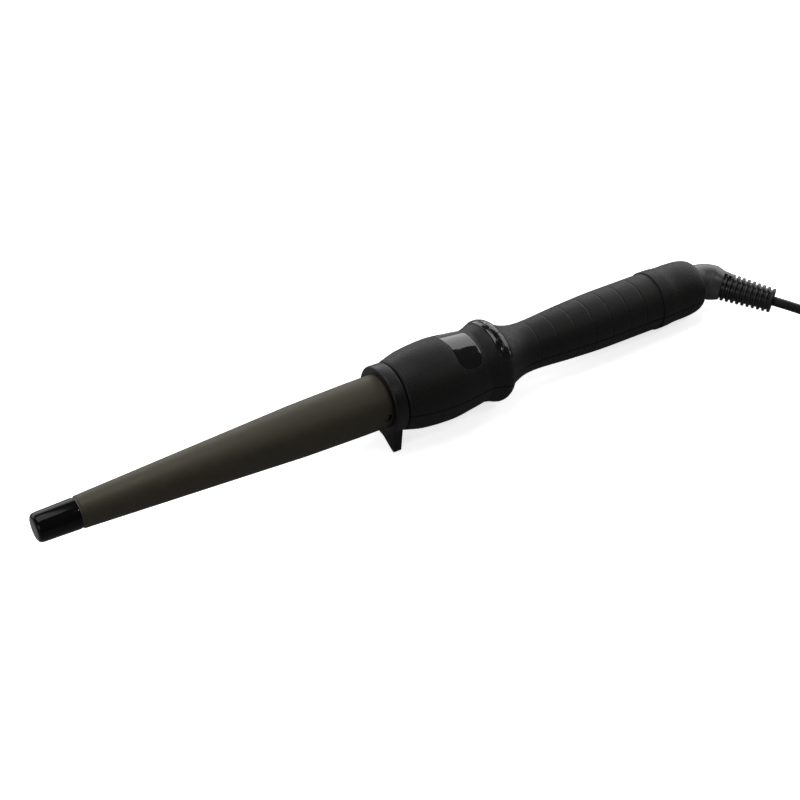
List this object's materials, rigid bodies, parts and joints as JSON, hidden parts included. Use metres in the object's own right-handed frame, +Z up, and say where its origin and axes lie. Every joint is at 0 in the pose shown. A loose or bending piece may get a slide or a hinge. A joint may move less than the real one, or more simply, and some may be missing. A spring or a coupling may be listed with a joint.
{
  "type": "curling iron",
  "caption": "Conical hair curling wand with a cool tip, heated tapered barrel, footed collar, display and buttons on the housing, and a swivel cord with a flat plug.",
  "frame": {"origin": "middle of the resting wand's plan, on the surface it stands on", "axes": "+X along the wand from the cool tip to the swivel, +Z up"},
  "size_m": [0.5693, 0.0856, 0.0414],
  "materials": {
    "gloss_black_plastic": "polished black moulding",
    "dark_insulator": "heat-resistant glass-filled plastic",
    "barrel_coating": "satin olive-brown mineral coating on aluminium",
    "dark_steel": "blackened steel",
    "aluminium": "die-cast",
    "ceramic": "fired ceramic",
    "steel": "zinc plated",
    "wire_insulation": "glass-fibre and silicone insulation",
    "satin_black_plastic": "satin black heat-resistant plastic",
    "soft_touch_black": "soft-touch coating with a fine grain",
    "window_black": "smoked clear display window",
    "lcd_glass": "liquid crystal display",
    "circuit_green": "solder mask",
    "component_black": "electronic components",
    "brass": "plain brass",
    "cord_jacket": "flexible vinyl jacket",
    "tie_strap": "hook-and-loop strap",
    "plug_vinyl": "moulded vinyl",
    "pin_metal": "nickel plated",
    "elbow_plastic": "satin black nylon",
    "relief_vinyl": "ribbed flexible vinyl"
  },
  "bodies": {
    "wand": {"cool_tip": "gloss_black_plastic", "tip_washer": "dark_insulator", "barrel": "barrel_coating", "barrel_base": "dark_insulator", "barrel_screws": "dark_steel", "heater_upper": "aluminium", "heater_lower": "aluminium", "ceramic_heater": "ceramic", "thermistor": "ceramic", "thermal_fuse": "steel", "heater_leads": "wire_insulation", "collar_stand": "satin_black_plastic", "upper_shell": "soft_touch_black", "lower_shell": "soft_touch_black", "shell_screws": "steel", "display_window": "window_black", "lcd_module": "lcd_glass", "button_bezel": "gloss_black_plastic", "tact_switches": "steel", "switch_board": "circuit_green", "circuit_board": "circuit_green", "board_components": "component_black", "terminal_block": "wire_insulation", "wire_harness": "wire_insulation", "brush_holder": "dark_insulator", "swivel_bearing": "dark_insulator", "contact_brushes": "brass", "cord_run": "cord_jacket", "cord_tail": "cord_jacket", "cord_coil": "cord_jacket", "cord_tie": "tie_strap", "plug_body": "plug_vinyl", "plug_pins": "pin_metal"},
    "power_button": {"power_button": "gloss_black_plastic"},
    "minus_button": {"minus_button": "gloss_black_plastic"},
    "plus_button": {"plus_button": "gloss_black_plastic"},
    "swivel": {"swivel_stem": "satin_black_plastic", "slip_rings": "brass", "swivel_elbow": "elbow_plastic", "strain_relief": "relief_vinyl"}
  },
  "joints": [
    {"name": "power_button_press", "type": "slide", "parent": "wand", "child": "power_button", "axis": [-0.0518, 0, -0.9987], "range_m": [0, 0.0005], "stiffness_N_per_m": 600},
    {"name": "minus_button_press", "type": "slide", "parent": "wand", "child": "minus_button", "axis": [-0.0448, 0.5, -0.8649], "range_m": [0, 0.0005], "stiffness_N_per_m": 600},
    {"name": "plus_button_press", "type": "slide", "parent": "wand", "child": "plus_button", "axis": [-0.0448, -0.5, -0.8649], "range_m": [0, 0.0005], "stiffness_N_per_m": 600},
    {"name": "cord_swivel", "type": "hinge", "parent": "wand", "child": "swivel", "pos_m": [0.16626, 0.00675, 0.01324], "axis": [-0.9987, 0, 0.0518], "continuous": true}
  ]
}
